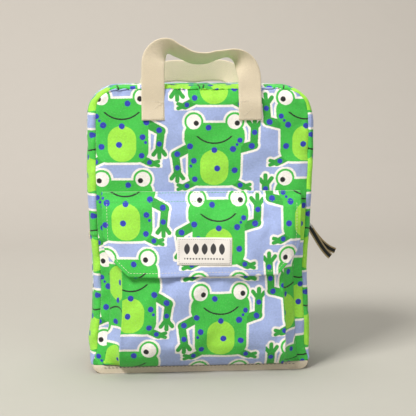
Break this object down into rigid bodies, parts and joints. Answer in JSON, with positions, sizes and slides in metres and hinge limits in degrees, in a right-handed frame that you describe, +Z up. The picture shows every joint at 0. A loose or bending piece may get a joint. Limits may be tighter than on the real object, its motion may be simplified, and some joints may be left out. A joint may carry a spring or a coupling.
{
  "type": "child's backpack",
  "caption": "Small upright child's canvas backpack with rounded top, wrap-around zip, bellows front pocket under a flap, twin webbing grab handles and padded straps.",
  "frame": {"origin": "centre of the base, on the floor", "axes": "+Z up, -Y the front with the pocket, +X the wearer's left, where the closed zip's slider parks"},
  "size_m": [0.2862, 0.16, 0.366],
  "materials": {
    "printed_canvas": "printed plain-weave cotton canvas",
    "natural_canvas": "unbleached cotton canvas",
    "cotton_webbing": "flat woven cotton webbing",
    "lining_cloth": "plain lining cloth",
    "back_foam": "closed-cell foam",
    "stiffener": "thin stiffener sheet",
    "zip_tape": "woven zip tape",
    "zip_coil": "nylon coil",
    "slider_metal": "die-cast metal",
    "pull_ribbon": "woven ribbon with a dark centre stripe",
    "label_cloth": "woven satin label",
    "hook_and_loop": "hook and loop tape",
    "lock_plastic": "moulded plastic"
  },
  "bodies": {
    "bag": {"base_panel": "natural_canvas", "base_board": "stiffener", "back_panel": "printed_canvas", "back_foam": "back_foam", "back_lining": "lining_cloth", "side_gusset_left": "printed_canvas", "side_gusset_right": "printed_canvas", "rear_gusset": "printed_canvas", "front_gusset_ends": "printed_canvas", "front_panel_lower": "printed_canvas", "front_lining_lower": "lining_cloth", "zip_tape_rear": "zip_tape", "zip_coil_rear": "zip_coil", "zip_tape_front_ends": "zip_tape", "zip_coil_front_ends": "zip_coil", "zip_end_tabs": "natural_canvas", "pocket_front": "printed_canvas", "pocket_gusset": "printed_canvas", "pocket_binding": "printed_canvas", "hook_patch": "hook_and_loop", "strap_yoke": "cotton_webbing", "strap_anchor_left": "natural_canvas", "strap_anchor_right": "natural_canvas", "rear_handle_ends": "cotton_webbing", "lower_webbing_left": "cotton_webbing", "lower_webbing_right": "cotton_webbing"},
    "front_top": {"front_panel_upper": "printed_canvas", "front_gusset": "printed_canvas", "front_lining_upper": "lining_cloth", "zip_tape_front": "zip_tape", "zip_coil_front": "zip_coil", "front_handle_ends": "cotton_webbing"},
    "flap": {"flap_panel": "printed_canvas", "flap_lining": "lining_cloth", "loop_patch": "hook_and_loop", "label": "label_cloth"},
    "front_handle": {"handle_front": "cotton_webbing"},
    "rear_handle": {"handle_rear": "cotton_webbing"},
    "slider": {"slider_body": "slider_metal"},
    "pull": {"pull_tab": "slider_metal", "pull_ribbon": "pull_ribbon"},
    "strap_left": {"strap_pad_left": "printed_canvas", "ladder_lock_left": "lock_plastic", "webbing_tail_left": "cotton_webbing"},
    "strap_right": {"strap_pad_right": "printed_canvas", "ladder_lock_right": "lock_plastic", "webbing_tail_right": "cotton_webbing"}
  },
  "joints": [
    {"name": "front_opens", "type": "hinge", "parent": "bag", "child": "front_top", "pos_m": [0, -0.052, 0.212], "axis": [-1, 0, 0], "range_deg": [-70, 0]},
    {"name": "flap_lifts", "type": "hinge", "parent": "bag", "child": "flap", "pos_m": [0, -0.055, 0.202], "axis": [-1, 0, 0], "range_deg": [0, 145]},
    {"name": "front_handle_folds", "type": "hinge", "parent": "front_top", "child": "front_handle", "pos_m": [0, -0.0528, 0.3156], "axis": [-1, 0, 0], "range_deg": [-130, 35], "stiffness_Nm_per_rad": 0.06},
    {"name": "rear_handle_folds", "type": "hinge", "parent": "bag", "child": "rear_handle", "pos_m": [0, 0.0528, 0.3156], "axis": [1, 0, 0], "range_deg": [-100, 40], "stiffness_Nm_per_rad": 0.06},
    {"name": "slider_runs", "type": "slide", "parent": "bag", "child": "slider", "axis": [0, 0, -1], "range_m": [-0.09, 0]},
    {"name": "pull_swings", "type": "hinge", "parent": "slider", "child": "pull", "pos_m": [0.1286, 0.008, 0.1615], "axis": [0, -1, 0], "range_deg": [-22, 100]},
    {"name": "strap_left_swings", "type": "hinge", "parent": "bag", "child": "strap_left", "pos_m": [-0.052, 0.055, 0.262], "axis": [1, 0, 0], "range_deg": [0, 12], "deforming": ["lower_webbing_left"]},
    {"name": "strap_right_swings", "type": "hinge", "parent": "bag", "child": "strap_right", "pos_m": [0.052, 0.055, 0.262], "axis": [1, 0, 0], "range_deg": [0, 12], "deforming": ["lower_webbing_right"]}
  ]
}
